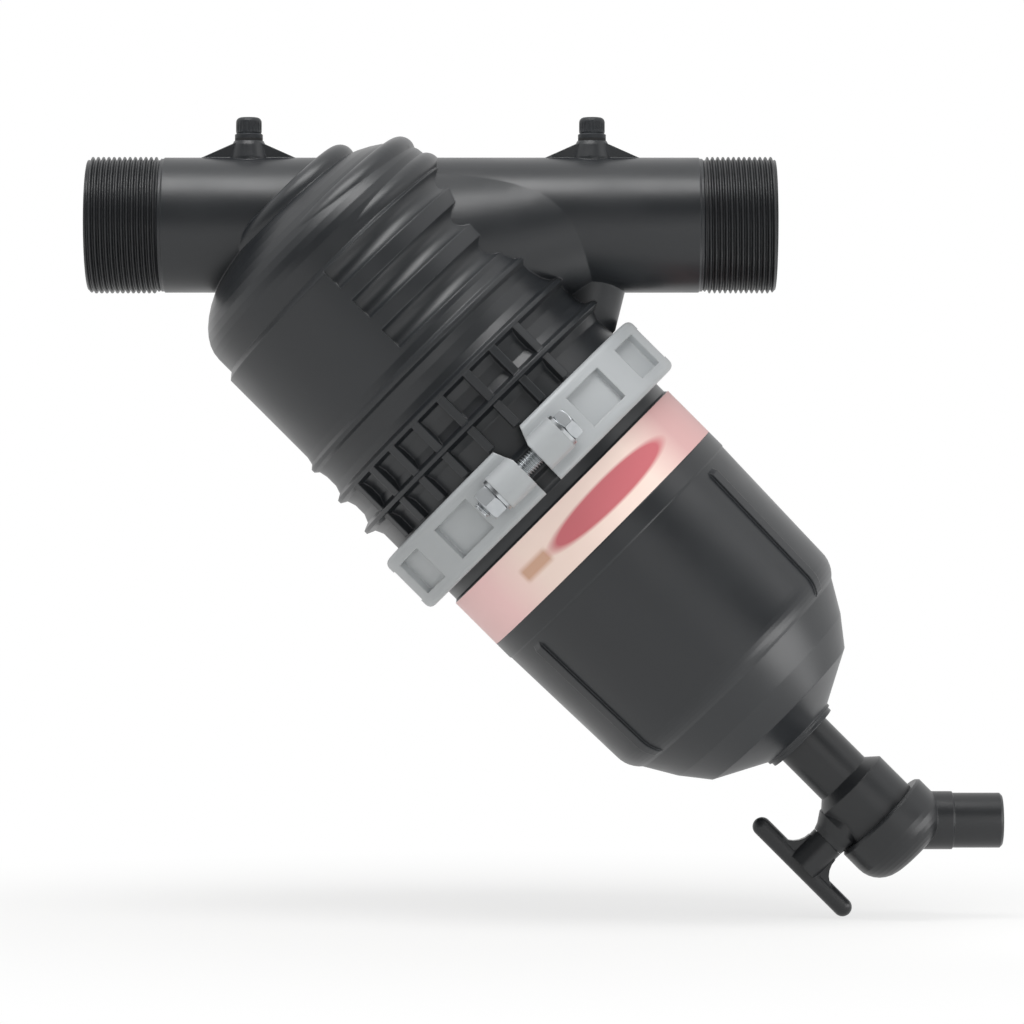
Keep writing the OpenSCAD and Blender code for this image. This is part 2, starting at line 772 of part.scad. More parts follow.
module outlet_test_cap() { test_cap(outlet_port_x); }
module inlet_test_cap() { test_cap(inlet_port_x); }
module outlet_test_seal() { test_seal(outlet_port_x); }
module inlet_test_seal() { test_seal(inlet_port_x); }

// Slots in the core: rows of windows cut straight through
module core_slots() {
    rows = 4;
    bridge = 8;
    length = (core_end_s - spine_wall - discs_s - bridge) / rows;
    for (row = [0 : rows - 1], turn = [0 : 2])
        rotate([0, 0, 60 * turn]) translate([-disc_r, -core_r / 4, discs_s + bridge + row * length])
            cube([2 * disc_r, core_r / 2, length - bridge]);
}

module cartridge_spine() {
    flange_s = discs_s - 4;
    funnel_s = seat_end + 2;
    color(black) leg() difference() {
        rotate_extrude() polygon([
            [0, diaphragm_s - 4], [neck_out_r, diaphragm_s - 4], [neck_out_r, ring_seal_s - 1.8],
            [ring_groove_r, ring_seal_s - 1.8], [ring_groove_r, ring_seal_s + 1.8],
            [neck_out_r, ring_seal_s + 1.8], [neck_out_r, funnel_s], [disc_r + 1, flange_s],
            [disc_r + 1, discs_s - seat_gap], [core_r, discs_s - seat_gap], [core_r, core_end_s],
            [stud_r, core_end_s], [stud_r, stud_end_s - 1], [stud_r - 1, stud_end_s], [0, stud_end_s]
        ]);
        rotate_extrude() polygon([
            [0, diaphragm_s - 5], [neck_in_r, diaphragm_s - 5], [neck_in_r, funnel_s + 4],
            [core_r - spine_wall, discs_s - 1], [core_r - spine_wall, core_end_s - spine_wall],
            [0, core_end_s - spine_wall]
        ]);
        core_slots();
    }
}

module cartridge_seal() {
    color(seal_black) leg() ring_cord(seat_r - seat_gap - ring_seal_r, ring_seal_r, ring_seal_s);
}

// Pressed stack of discs, one solid with a notch between each disc and the next
module filter_discs() {
    stack = plate_s - seat_gap - discs_s;
    count = floor(stack / disc_t);
    t = stack / count;
    color(disc_red) leg() translate([0, 0, discs_s]) rotate_extrude() polygon(concat(
        [[disc_bore_r, 0]],
        [for (i = [0 : count - 1], p = [[disc_notch, 0], [0, 0.28], [0, 0.72]])
            [disc_r - p[0], (i + p[1]) * t]],
        [[disc_r - disc_notch, stack], [disc_bore_r, stack]]
    ));
}

module pressure_plate() {
    color(black) leg() difference() {
        union() {
            translate([0, 0, plate_s]) cylinder(r = disc_r + 0.5, h = plate_t);
            tube(core_r - 4, stud_r + 8, plate_s - 3, plate_s + 1);
        }
        translate([0, 0, plate_s - 4]) cylinder(r = stud_r + seat_gap * 3, h = plate_t + 8);
        for (a = [0 : 45 : 315]) rotate([0, 0, a]) translate([disc_r - 9, 0, plate_s - 4])
            cylinder(r = 4, h = plate_t + 8);
    }
}

// Coil spring: a ring of points carried along a helix
module cartridge_spring() {
    sides = 10;
    per_turn = 24;
    free = spring_len - 2 * wire_r - 2 * seat_gap;
    steps = per_turn * spring_turns;
    points = [for (i = [0 : steps], k = [0 : sides - 1])
        let (turn = 360 * i / per_turn, a = 360 * k / sides, r = spring_r + wire_r * cos(a))
        [r * cos(turn), r * sin(turn), wire_r * sin(a) + free * i / steps]];
    sleeve = [for (i = [0 : steps - 1], k = [0 : sides - 1]) let (n = (k + 1) % sides)
        [i * sides + k, (i + 1) * sides + k, (i + 1) * sides + n, i * sides + n]];
    ends = [[for (k = [0 : sides - 1]) k], [for (k = [sides - 1 : -1 : 0]) steps * sides + k]];
    color(steel) leg() translate([0, 0, spring_s + wire_r + seat_gap])
        polyhedron(points, concat(sleeve, ends), convexity = 6);
}

module cartridge_nut() {
    hub_r = stud_r + 5;
    color(black) leg() difference() {
        union() {
            translate([0, 0, nut_s]) cylinder(r1 = hub_r + 2, r2 = hub_r, h = wing_nut_h);
            translate([-hub_r - wing_len, -wing_t / 2, nut_s + 2])
                cube([2 * (hub_r + wing_len), wing_t, wing_nut_h - 1]);
        }
        translate([0, 0, nut_s - 1]) cylinder(r = stud_r + seat_gap, h = wing_nut_h + 4);
    }
}

// Turns children so that their z points from the ball's centre along the stem
module on_stem() {
    leg() translate([0, 0, ball_s]) rotate([0, 90, 0]) children();
}

module valve_body() {
    color(black) difference() {
        union() {
            leg() rotate_extrude() polygon([
                [0, tail_s], [tail_r - 1, tail_s], [tail_r, tail_s + 1], [tail_r, valve_s],
                [valve_r, valve_s + valve_cone], [valve_r, valve_end_s], [0, valve_end_s]
            ]);
            on_stem() rotate_extrude() polygon([
                [0, chamber_r - 6], [bonnet_r + 4, chamber_r - 6], [bonnet_r + 4, valve_r - 1],
                [bonnet_r + 1, valve_r + 3.5], [bonnet_r, bonnet_end - bonnet_step],
                [bonnet_r - bonnet_step, bonnet_end - bonnet_step], [bonnet_r - bonnet_step, bonnet_end],
                [0, bonnet_end]
            ]);
        }
        leg() translate([0, 0, tail_s - eps]) cylinder(r = drain_bore_r, h = chamber_s - tail_s + 2 * eps);
        leg() translate([0, 0, chamber_s]) cylinder(r = chamber_r, h = valve_end_s - chamber_s + eps);
        on_stem() cylinder(r = stem_r + stem_gap, h = bonnet_end + eps);
        on_stem() cylinder(r = stem_r + 1.5, h = collar_x + 0.4);
        leg() tube(2 * valve_r, valve_r, skirt_s - 4 * seat_gap, valve_end_s + eps);
        leg() translate([0, 0, valve_end_s]) cylinder(r = 2 * valve_r, h = valve_r);
    }
}

module valve_ball() {
    color(steel) leg() translate([0, 0, ball_s]) difference() {
        sphere(r = ball_r);
        translate([0, 0, -2 * ball_r]) cylinder(r = ball_bore_r, h = 4 * ball_r);
        translate([ball_r - tang_in - 2 * seat_gap, -tang_t / 2 - 2 * seat_gap, -2 * ball_r])
            cube([ball_r, tang_t + 4 * seat_gap, 4 * ball_r]);
    }
}

// Seat ring hollowed to the ball's curve, on the low or the high side of it
module ball_seat(z0) {
    color(seat_white) leg() difference() {
        tube(chamber_r - seat_gap, drain_bore_r + 0.2, z0, z0 + seat_t);
        translate([0, 0, ball_s]) sphere(r = ball_r + ball_gap);
    }
}

module valve_inlet_seat() { ball_seat(chamber_s + seat_gap / 2); }
module valve_outlet_seat() { ball_seat(valve_end_s - seat_t - seat_gap / 2); }

// Stem with a tang in the ball, a collar, a seal groove and a square for the handle
module valve_stem() {
    color(steel) on_stem() {
        translate([-tang_w / 2, -tang_t / 2, ball_r - tang_in])
            cube([tang_w, tang_t, collar_x0 + 1 - ball_r + tang_in]);
        difference() {
            union() {
                translate([0, 0, collar_x0]) cylinder(r = stem_r, h = bonnet_end - collar_x0);
                translate([0, 0, collar_x0]) cylinder(r = stem_r + 1.2, h = collar_x - collar_x0);
            }
            tube(2 * stem_r, stem_groove_r, stem_ring_x - 1.1, stem_ring_x + 1.1);
        }
        translate([-square_side / 2, -square_side / 2, bonnet_end - 1])
            cube([square_side, square_side, bar_at - bar_r - bonnet_end]);
    }
}

module stem_seal() {
    color(seal_black) on_stem() ring_cord(stem_groove_r + 0.05 + stem_ring_r, stem_ring_r, stem_ring_x);
}

// T-handle: a round bar on a hub whose skirt covers the bonnet's spigot, with hollow-curved webs
module valve_handle() {
    hub_r = bonnet_r - 0.1;
    hub_z = bonnet_end + spigot_gap;
    half = bar_len / 2 - bar_r;
    socket = square_side + 2 * seat_gap;
    web_r = 2.4 * bar_r;
    web_s = bar_at - 0.6 * bar_r - web_r;
    color(black) on_stem() difference() {
        union() {
            translate([0, 0, hub_z]) cylinder(r = hub_r, h = bar_at - hub_z);
            tube(hub_r, bonnet_r - bonnet_step + spigot_gap, hub_z - bonnet_step, hub_z + eps);
            translate([-half, 0, bar_at]) rotate([0, 90, 0]) cylinder(r = bar_r, h = 2 * half);
            for (side = [-1, 1]) translate([side * half, 0, bar_at]) sphere(r = bar_r);
            rotate([90, 0, 0]) linear_extrude(height = 1.5 * bar_r, center = true) polygon(concat(
                arc([hub_r + web_r, web_s], web_r, 180, 90, 6), arc([-hub_r - web_r, web_s], web_r, 90, 0, 6)
            ));
        }
        translate([-socket / 2, -socket / 2, hub_z - eps]) cube([socket, socket, bar_at - bar_r - hub_z]);
    }
}

module valve_elbow() {
    chamfer = 1.1;
    reach = outlet_len + spigot_len;
    color(black) difference() {
        union() {
            leg() rotate_extrude() polygon(concat(
                [[0, elbow_s], [valve_r + seat_gap, elbow_s], [valve_r + seat_gap, skirt_s],
                 [knuckle_r - chamfer, skirt_s], [knuckle_r, skirt_s + chamfer]],
                arc([knuckle_r - knuckle_round, knuckle_end_s - knuckle_round], knuckle_round, 0, 90, 8),
                [[0, knuckle_end_s + 0.4]]
            ));
            along_pipe_at(elbow_axis_s) rotate_extrude() polygon([
                [0, 0], [outlet_r, 0], [outlet_r, outlet_len], [spigot_r, outlet_len + 0.5],
                [spigot_r, reach - chamfer], [spigot_r - chamfer, reach], [0, reach]
            ]);
        }
        leg() translate([0, 0, elbow_s - eps]) cylinder(r = drain_bore_r, h = elbow_axis_s - elbow_s + eps);
        along_pipe_at(elbow_axis_s) sphere(r = drain_bore_r + 0.4);
        along_pipe_at(elbow_axis_s) cylinder(r = drain_bore_r, h = reach + eps);
        leg() translate([0, 0, elbow_s - valve_r]) cylinder(r = valve_r + seat_gap, h = valve_r);
    }
}

body();
cover();
cover_seal();
label_band();
clamp_lower_half();
clamp_upper_half();
clamp_hinge_pin();
clamp_bolt();
clamp_nut();
clamp_washers();
outlet_test_cap();
inlet_test_cap();
outlet_test_seal();
inlet_test_seal();
cartridge_spine();
cartridge_seal();
filter_discs();
pressure_plate();
cartridge_spring();
cartridge_nut();
valve_body();
valve_ball();
valve_inlet_seat();
valve_outlet_seat();
valve_stem();
stem_seal();
valve_handle();
valve_elbow();
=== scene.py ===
"""Looks of an irrigation disc filter: threads, print, finishes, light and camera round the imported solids.

Everything is in metres in the part's own frame: +X runs along the pipe from the outlet to the inlet, +Z is
up and -Y is the front. Sizes are written in millimetres and turned to metres by MM.
"""

import json
import logging
import math
from collections.abc import Callable, Sequence
from dataclasses import dataclass
from enum import Enum

import bpy
from mathutils import Euler, Matrix, Vector


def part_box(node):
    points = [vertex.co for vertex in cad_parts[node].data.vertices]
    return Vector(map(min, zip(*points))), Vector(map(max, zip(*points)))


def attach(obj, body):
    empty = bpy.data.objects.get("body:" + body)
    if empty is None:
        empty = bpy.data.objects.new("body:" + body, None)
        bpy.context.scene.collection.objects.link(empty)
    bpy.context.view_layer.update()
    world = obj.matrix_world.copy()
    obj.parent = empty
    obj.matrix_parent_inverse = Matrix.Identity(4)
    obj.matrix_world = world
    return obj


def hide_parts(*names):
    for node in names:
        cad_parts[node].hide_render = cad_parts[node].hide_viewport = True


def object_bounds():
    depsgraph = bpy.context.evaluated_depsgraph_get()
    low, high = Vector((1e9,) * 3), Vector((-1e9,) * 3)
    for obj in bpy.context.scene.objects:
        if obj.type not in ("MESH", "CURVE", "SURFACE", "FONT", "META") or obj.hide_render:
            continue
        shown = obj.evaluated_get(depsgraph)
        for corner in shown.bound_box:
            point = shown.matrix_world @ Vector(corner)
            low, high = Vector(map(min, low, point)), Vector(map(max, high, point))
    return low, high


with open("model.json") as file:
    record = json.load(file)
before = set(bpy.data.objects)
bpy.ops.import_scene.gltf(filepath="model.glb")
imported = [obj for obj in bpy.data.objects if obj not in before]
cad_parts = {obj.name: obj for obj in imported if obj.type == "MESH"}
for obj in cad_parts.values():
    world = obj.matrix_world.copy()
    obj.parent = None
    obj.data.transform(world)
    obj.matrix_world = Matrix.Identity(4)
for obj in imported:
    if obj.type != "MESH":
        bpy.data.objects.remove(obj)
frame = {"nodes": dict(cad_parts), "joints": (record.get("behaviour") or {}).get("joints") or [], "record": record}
CAD_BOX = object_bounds()

MM = 0.001
EDGE_SAMPLES = 6
FINE_DETAIL = 2.0
CLOUD_SPAN = (0.3, 0.7)
SHARP_ANGLE = math.radians(38)
WHITE = (1.0, 1.0, 1.0, 1.0)
log = logging.getLogger("disc_filter")

Ring = list[Vector]
Colour = tuple[float, float, float, float]
RadiusLaw = Callable[[float, float, float], float]


class Body(Enum):
    """The bodies that pieces move with, by their names in the frame."""

    HOUSING = "housing"
    DRAIN_HANDLE = "drain_handle"


class PipeEnd(Enum):
    """The two ends of the pipe, each with a thread and a test port."""

    OUTLET = "outlet"
    INLET = "inlet"


def linear(colour: str) -> Colour:
    """Turns an sRGB hex colour into linear light.

    Args:
        colour: six hex digits after a hash.

    Returns:
        Linear red, green and blue, and an alpha of 1.
    """
    shares = (int(colour[i:i + 2], 16) / 255 for i in (1, 3, 5))
    return (*(c / 12.92 if c <= 0.04045 else ((c + 0.055) / 1.055) ** 2.4 for c in shares), 1.0)


def per_mm(size: float) -> float:
    """Scale of a noise whose features measure size millimetres."""
    return 1 / (size * MM)


def add(tree: bpy.types.NodeTree, kind: str, sockets: dict[str | int, object] | None = None,
        **settings: object) -> bpy.types.Node:
    """Adds one shader node.

    Args:
        tree: node tree that takes the node.
        kind: Blender's name of the node, without its ShaderNode prefix.
        sockets: inputs by name or number, each with a constant or with the output to link to it.
        settings: properties of the node itself.

    Returns:
        The new node.
    """
    node = tree.nodes.new("ShaderNode" + kind)
    for key, value in settings.items():
        setattr(node, key, value)
    for key, value in (sockets or {}).items():
        if isinstance(value, bpy.types.NodeSocket):
            tree.links.new(value, node.inputs[key])
        else:
            node.inputs[key].default_value = value
    return node


def new_material(name: str) -> tuple[bpy.types.Material, bpy.types.NodeTree, bpy.types.Node]:
    """Starts a node material.

    Args:
        name: the real material and how its surface was made.

    Returns:
        The material, its node tree and its main shader.
    """
    material = bpy.data.materials.new(name)
    material.use_nodes = True
    return material, material.node_tree, material.node_tree.nodes["Principled BSDF"]


@dataclass(frozen=True)
class MouldedPlastic:
    """Injection-moulded plastic: an even colour with faint clouds, a fine grain and softly rubbed edges."""

    name: str
    colour: str
    cloud_colour: str
    rubbed: str
    roughness: float
    ior: float = 1.53
    sheen_spread: float = 0.05
    cloud_mm: float = 34.0
    cloud_detail: float = 3.0
    grain_mm: float = 0.9
    grain_depth_mm: float = 0.014
    edge_mm: float = 0.9
    edge_facing: tuple[float, float] = (0.995, 0.8)
    rub: float = 0.5

    def make(self) -> bpy.types.Material:
        """Builds the material.

        Returns:
            The finished material.
        """
        material, tree, shader = new_material(self.name)
        place = add(tree, "TexCoord").outputs["Object"]
        cloud = add(tree, "TexNoise", {"Vector": place, "Scale": per_mm(self.cloud_mm),
                                       "Detail": self.cloud_detail})
        # The real grain is about 0.1 mm across, so it is drawn coarser to show.
        grain = add(tree, "TexNoise", {"Vector": place, "Scale": per_mm(self.grain_mm),
                                       "Detail": FINE_DETAIL})
        rounded = add(tree, "Bevel", {"Radius": self.edge_mm * MM}, samples=EDGE_SAMPLES)
        surface = add(tree, "NewGeometry")
        facing = add(tree, "VectorMath", {0: rounded.outputs["Normal"], 1: surface.outputs["Normal"]},
                     operation="DOT_PRODUCT")
        edge = add(tree, "MapRange", {"Value": facing.outputs["Value"], "From Min": self.edge_facing[0],
                                      "From Max": self.edge_facing[1], "To Min": 0.0, "To Max": self.rub})
        tint = add(tree, "Mix", {0: cloud.outputs["Fac"], 6: linear(self.colour),
                                 7: linear(self.cloud_colour)}, data_type="RGBA")
        worn = add(tree, "Mix", {0: edge.outputs["Result"], 6: tint.outputs[2], 7: linear(self.rubbed)},
                   data_type="RGBA")
        gloss = add(tree, "MapRange", {"Value": cloud.outputs["Fac"],
                                       "From Min": CLOUD_SPAN[0], "From Max": CLOUD_SPAN[1],
                                       "To Min": self.roughness - self.sheen_spread,
                                       "To Max": self.roughness + self.sheen_spread})
        relief = add(tree, "Bump", {"Height": grain.outputs["Fac"], "Distance": self.grain_depth_mm * MM,
                                    "Strength": 1.0, "Normal": rounded.outputs["Normal"]})
        tree.links.new(worn.outputs[2], shader.inputs["Base Color"])
        tree.links.new(gloss.outputs["Result"], shader.inputs["Roughness"])
        tree.links.new(relief.outputs["Normal"], shader.inputs["Normal"])
        shader.inputs["IOR"].default_value = self.ior
        return material


@dataclass(frozen=True)
class PlatedSteel:
    """Steel, zinc-plated or drawn: bright metal with faint tooling marks and a slightly cloudy sheen."""

    name: str
    colour: str
    dulled: str
    roughness: float
    sheen_spread: tuple[float, float] = (0.06, 0.08)
    cloud_mm: float = 5.0
    cloud_detail: float = 4.0
    mark_mm: float = 0.6
    mark_depth_mm: float = 0.006
    edge_mm: float = 0.25

    def make(self) -> bpy.types.Material:
        """Builds the material.

        Returns:
            The finished material.
        """
        material, tree, shader = new_material(self.name)
        place = add(tree, "TexCoord").outputs["Object"]
        cloud = add(tree, "TexNoise", {"Vector": place, "Scale": per_mm(self.cloud_mm),
                                       "Detail": self.cloud_detail})
        # Real tooling marks are about 0.1 mm apart, so they are drawn coarser to show.
        marks = add(tree, "TexNoise", {"Vector": place, "Scale": per_mm(self.mark_mm),
                                       "Detail": FINE_DETAIL})
        tint = add(tree, "Mix", {0: cloud.outputs["Fac"], 6: linear(self.colour), 7: linear(self.dulled)},
                   data_type="RGBA")
        gloss = add(tree, "MapRange", {"Value": cloud.outputs["Fac"],
                                       "From Min": CLOUD_SPAN[0], "From Max": CLOUD_SPAN[1],
                                       "To Min": self.roughness - self.sheen_spread[0],
                                       "To Max": self.roughness + self.sheen_spread[1]})
        rounded = add(tree, "Bevel", {"Radius": self.edge_mm * MM}, samples=EDGE_SAMPLES)
        relief = add(tree, "Bump", {"Height": marks.outputs["Fac"], "Distance": self.mark_depth_mm * MM,
                                    "Strength": 1.0, "Normal": rounded.outputs["Normal"]})
        tree.links.new(tint.outputs[2], shader.inputs["Base Color"])
        tree.links.new(gloss.outputs["Result"], shader.inputs["Roughness"])
        tree.links.new(relief.outputs["Normal"], shader.inputs["Normal"])
        shader.inputs["Metallic"].default_value = 1.0
        return material


class Finish(Enum):
    """The finishes of the filter's pieces, each named for its material and how it was made."""

    # Body and cover: charcoal, with broad soft highlights.
    BODY_NYLON = MouldedPlastic(
        "Glass-filled nylon, moulded satin, charcoal", colour="#1b1d20", cloud_colour="#222528",
        rubbed="#383b3e", roughness=0.36)
    # Clamp halves: an even mid grey with a low shine.
    CLAMP_NYLON = MouldedPlastic(
        "Glass-filled nylon, moulded satin, grey", colour="#a1a5a7", cloud_colour="#aeb1b3",
        rubbed="#c2c4c5", roughness=0.44)
    # Threads, drain valve and cartridge core: black, with slightly waxy highlights.
    BLACK_PLASTIC = MouldedPlastic(
        "Polypropylene, moulded satin, black", colour="#1a1b1d", cloud_colour="#202224",
        rubbed="#323436", roughness=0.37, ior=1.49, edge_mm=0.6)
    # Test caps: a bluer black that hardly shines.
    CAP_PLASTIC = MouldedPlastic(
        "Polypropylene, moulded matt, blue black", colour="#1c1f23", cloud_colour="#222529",
        rubbed="#36393e", roughness=0.5, ior=1.49, edge_mm=0.4)
    # Filter discs: a dull brick red.
    DISC_PLASTIC = MouldedPlastic(
        "Polypropylene, moulded grooved discs, red", colour="#8e2f2c", cloud_colour="#9a3833",
        rubbed="#a8524c", roughness=0.45, ior=1.49, edge_mm=0.2)
    # Ball and stem: smooth, pale and fairly glossy.
    ACETAL = MouldedPlastic(
        "Acetal, moulded and polished, grey", colour="#b4b7b9", cloud_colour="#bcbec0",
        rubbed="#c8cacb", roughness=0.3, ior=1.48, edge_mm=0.3)
    # Ball seats: milky white with a soft sheen.
    SEAT_PLASTIC = MouldedPlastic(
        "Fluoropolymer, turned, white", colour="#e4e4df", cloud_colour="#e9e9e5",
        rubbed="#efefec", roughness=0.4, ior=1.38, edge_mm=0.2)
    # Seals: deep black with no clear highlight.
    RUBBER = MouldedPlastic(
        "Rubber, moulded matt, black", colour="#161617", cloud_colour="#1b1b1c",
        rubbed="#242425", roughness=0.72, ior=1.52, edge_mm=0.2)
    # Bolt, nut, washers and pin: silvery, a little cloudy.
    ZINC_STEEL = PlatedSteel("Steel, zinc-plated", colour="#c3c6c8", dulled="#a9adb0", roughness=0.34)
    # Cartridge spring: brighter and smoother, slightly warm.
    SPRING_STEEL = PlatedSteel("Stainless steel, drawn wire", colour="#c6c6c4", dulled="#b0b0ae",
                               roughness=0.28)


class FinishShelf:
    """Makes each finish once and hands it out."""

    def __init__(self) -> None:
        """Starts with no finish made."""
        self.made: dict[Finish, bpy.types.Material] = {}

    def take(self, finish: Finish) -> bpy.types.Material:
        """Hands out a finish, which is made at its first use.

        Args:
            finish: the finish that is wanted.

        Returns:
            Its material.
        """
        if finish not in self.made:
            self.made[finish] = finish.value.make()
        return self.made[finish]

    def dress(self, finish: Finish, *nodes: str) -> None:
        """Gives solids of the frame a finish.

        Args:
            finish: the finish that they get.
            nodes: names of the solids.
        """
        for node in nodes:
            paint(frame["nodes"][node], self.take(finish))
            log.info("%s: %s", node, finish.value.name)


def paint(piece: bpy.types.Object, material: bpy.types.Material) -> None:
    """Makes a material the only one of a piece."""
    piece.data.materials.clear()
    piece.data.materials.append(material)


def hand_over(piece: bpy.types.Object, body: Body, material: bpy.types.Material,
              node: str | None = None) -> None:
    """Gives a new piece its body and its finish.

    Args:
        piece: the new piece.
        body: what it moves with.
        material: its finish.
        node: the solid that it stands for, if there is one.
    """
    if node:
        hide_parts(node)
    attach(piece, body.value)
    paint(piece, material)
    log.info("%s: new piece, %s", piece.name, material.name)


def copy_of(node: str, name: str) -> bpy.types.Object:
    """Copies a solid, so that the copy's shape can be refined.

    Args:
        node: name of the solid.
        name: name of the copy.

    Returns:
        The copy, with a mesh of its own.
    """
    solid = frame["nodes"][node]
    piece = solid.copy()
    piece.data = solid.data.copy()
    piece.name = name
    bpy.context.scene.collection.objects.link(piece)
    return piece


def ringed_mesh(name: str, rings: Sequence[Ring], hollow: bool = False) -> bpy.types.Object:
    """Skins a row of rings that have the same number of points.

    Args:
        name: name of the new object.
        rings: rings in order, each running the same way round.
        hollow: joins the last ring to the first, for a piece with a bore; otherwise both ends are capped.

    Returns:
        A smooth-shaded object with sharp edges kept.
    """
    count = len(rings[0])
    points = [p for ring in rings for p in ring]
    rows = len(rings) if hollow else len(rings) - 1
    faces = []
    for row in range(rows):
        low = row * count
        high = (row + 1) % len(rings) * count
        for i in range(count):
            j = (i + 1) % count
            faces.append((low + i, low + j, high + j, high + i))
    if not hollow:
        faces.append(tuple(reversed(range(count))))
        faces.append(tuple(range(len(points) - count, len(points))))
    mesh = bpy.data.meshes.new(name)
    mesh.from_pydata(points, [], faces)
    mesh.validate()
    mesh.shade_smooth()
    mesh.set_sharp_from_angle(angle=SHARP_ANGLE)
    piece = bpy.data.objects.new(name, mesh)
    bpy.context.scene.collection.objects.link(piece)
    return piece


def turned_rings(profile: Sequence[tuple[float, float]], radius: RadiusLaw, place: Matrix,
                 steps: int) -> list[Ring]:
    """Rings of a turned shape whose radius may change on the way round.

    Args:
        profile: radius and height of each ring, in metres.
        radius: gives the radius at a profile radius, an angle and a height.
        place: from the shape's own frame, with z along its axis, to the part's frame.
        steps: points on each ring.

    Returns:
        One ring for each point of the profile.
    """
    turns = [math.tau * i / steps for i in range(steps)]
    rings = []
    for r, z in profile:
        reaches = [radius(r, a, z) for a in turns]
        rings.append([place @ Vector((reach * math.cos(a), reach * math.sin(a), z))
                      for reach, a in zip(reaches, turns)])
    return rings


@dataclass(frozen=True)
class Leg:
    """Frame of the slanted leg.

    Its z runs down the leg's axis from the pipe, its x runs to the lower left, and its -y is the front.
    """

    place: Matrix

    @classmethod
    def from_frame(cls) -> "Leg":
        """Reads the leg's axis from the drain valve's joint, whose stem stands square to it.

        Returns:
            The leg's frame, with its origin at the pipe's height.
        """
        joint = frame["joints"][0]
        ball = Vector(joint["pos_m"])
        across = Vector(joint["axis"]).normalized()
        front_to_back = Vector((0, 1, 0))
        down = across.cross(front_to_back)
        place = Matrix((across, front_to_back, down)).transposed().to_4x4()
        place.translation = ball - down * (ball.z / down.z)
        return cls(place)

    def box(self, node: str) -> tuple[Vector, Vector]:
        """Lowest and highest corners of a solid in the leg's frame.

        Args:
            node: name of the solid.

        Returns:
            The two corners.
        """
        back = self.place.inverted()
        points = [back @ v.co for v in frame["nodes"][node].data.vertices]
        return (Vector([min(p[i] for p in points) for i in range(3)]),
                Vector([max(p[i] for p in points) for i in range(3)]))


@dataclass(frozen=True)
class Thread:
    """A right-hand thread with rounded roots and crests, wound as one closed sleeve; sizes in metres."""

    crest_r: float
    pitch: float
    depth: float
    start: float
    end: float
    lead_in: float
    steps: int = 96
    rows_per_turn: int = 10
    root_flat: float = 0.14
    flank_share: float = 0.72

    def height(self, z: float, angle: float) -> float:
        """Radius of the thread's surface at a height and an angle.

        Args:
            z: place along the axis.
            angle: place round it.

        Returns:
            The radius there.
        """
        phase = (z / self.pitch - angle / math.tau) % 1
        flank = min(1.0, max(0.0, (abs(2 * phase - 1) - self.root_flat) / self.flank_share))
        fade = min(1.0, (z - self.start) / self.lead_in, (self.end - z) / self.lead_in)
        return self.crest_r - self.depth * (1 - max(0.0, fade) * flank * flank * (3 - 2 * flank))

    def rings(self, place: Matrix) -> list[Ring]:
        """Rings of the sleeve, with its ends tucked under the root.

        Args:
            place: from the thread's frame, with z along its axis, to the part's frame.

        Returns:
            The rings from start to end, and then the two that are tucked under.
        """
        rows = round((self.end - self.start) / self.pitch * self.rows_per_turn)
        root = self.crest_r - self.depth
        profile = [(root, self.start + (self.end - self.start) * i / rows) for i in range(rows + 1)]
        outside = turned_rings(profile, lambda r, a, z: self.height(z, a), place, self.steps)
        tucked = [(root - self.depth, self.end), (root - self.depth, self.start)]
        return outside + turned_rings(tucked, lambda r, a, z: r, place, self.steps)


@dataclass(frozen=True)
class ThreadMount:
    """Place, outward axis, crest radius and length of the thread at a pipe end."""

    name: str
    place: Vector
    outward: Vector
    crest_r: float
    length: float

    @classmethod
    def at(cls, end: PipeEnd) -> "ThreadMount":
        """Reads the mount at a pipe end from the record.

        Args:
            end: which end it is.

        Returns:
            The mount in metres.
        """
        name = f"{end.value}_thread"
        row = next(m for m in frame["record"]["mounts"] if m["name"] == name)
        dims = row["dims"]
        return cls(name, Vector(row["pos_m"]), Vector(row["axis"]), dims["r_mm"] * MM,
                   dims["length_mm"] * MM)


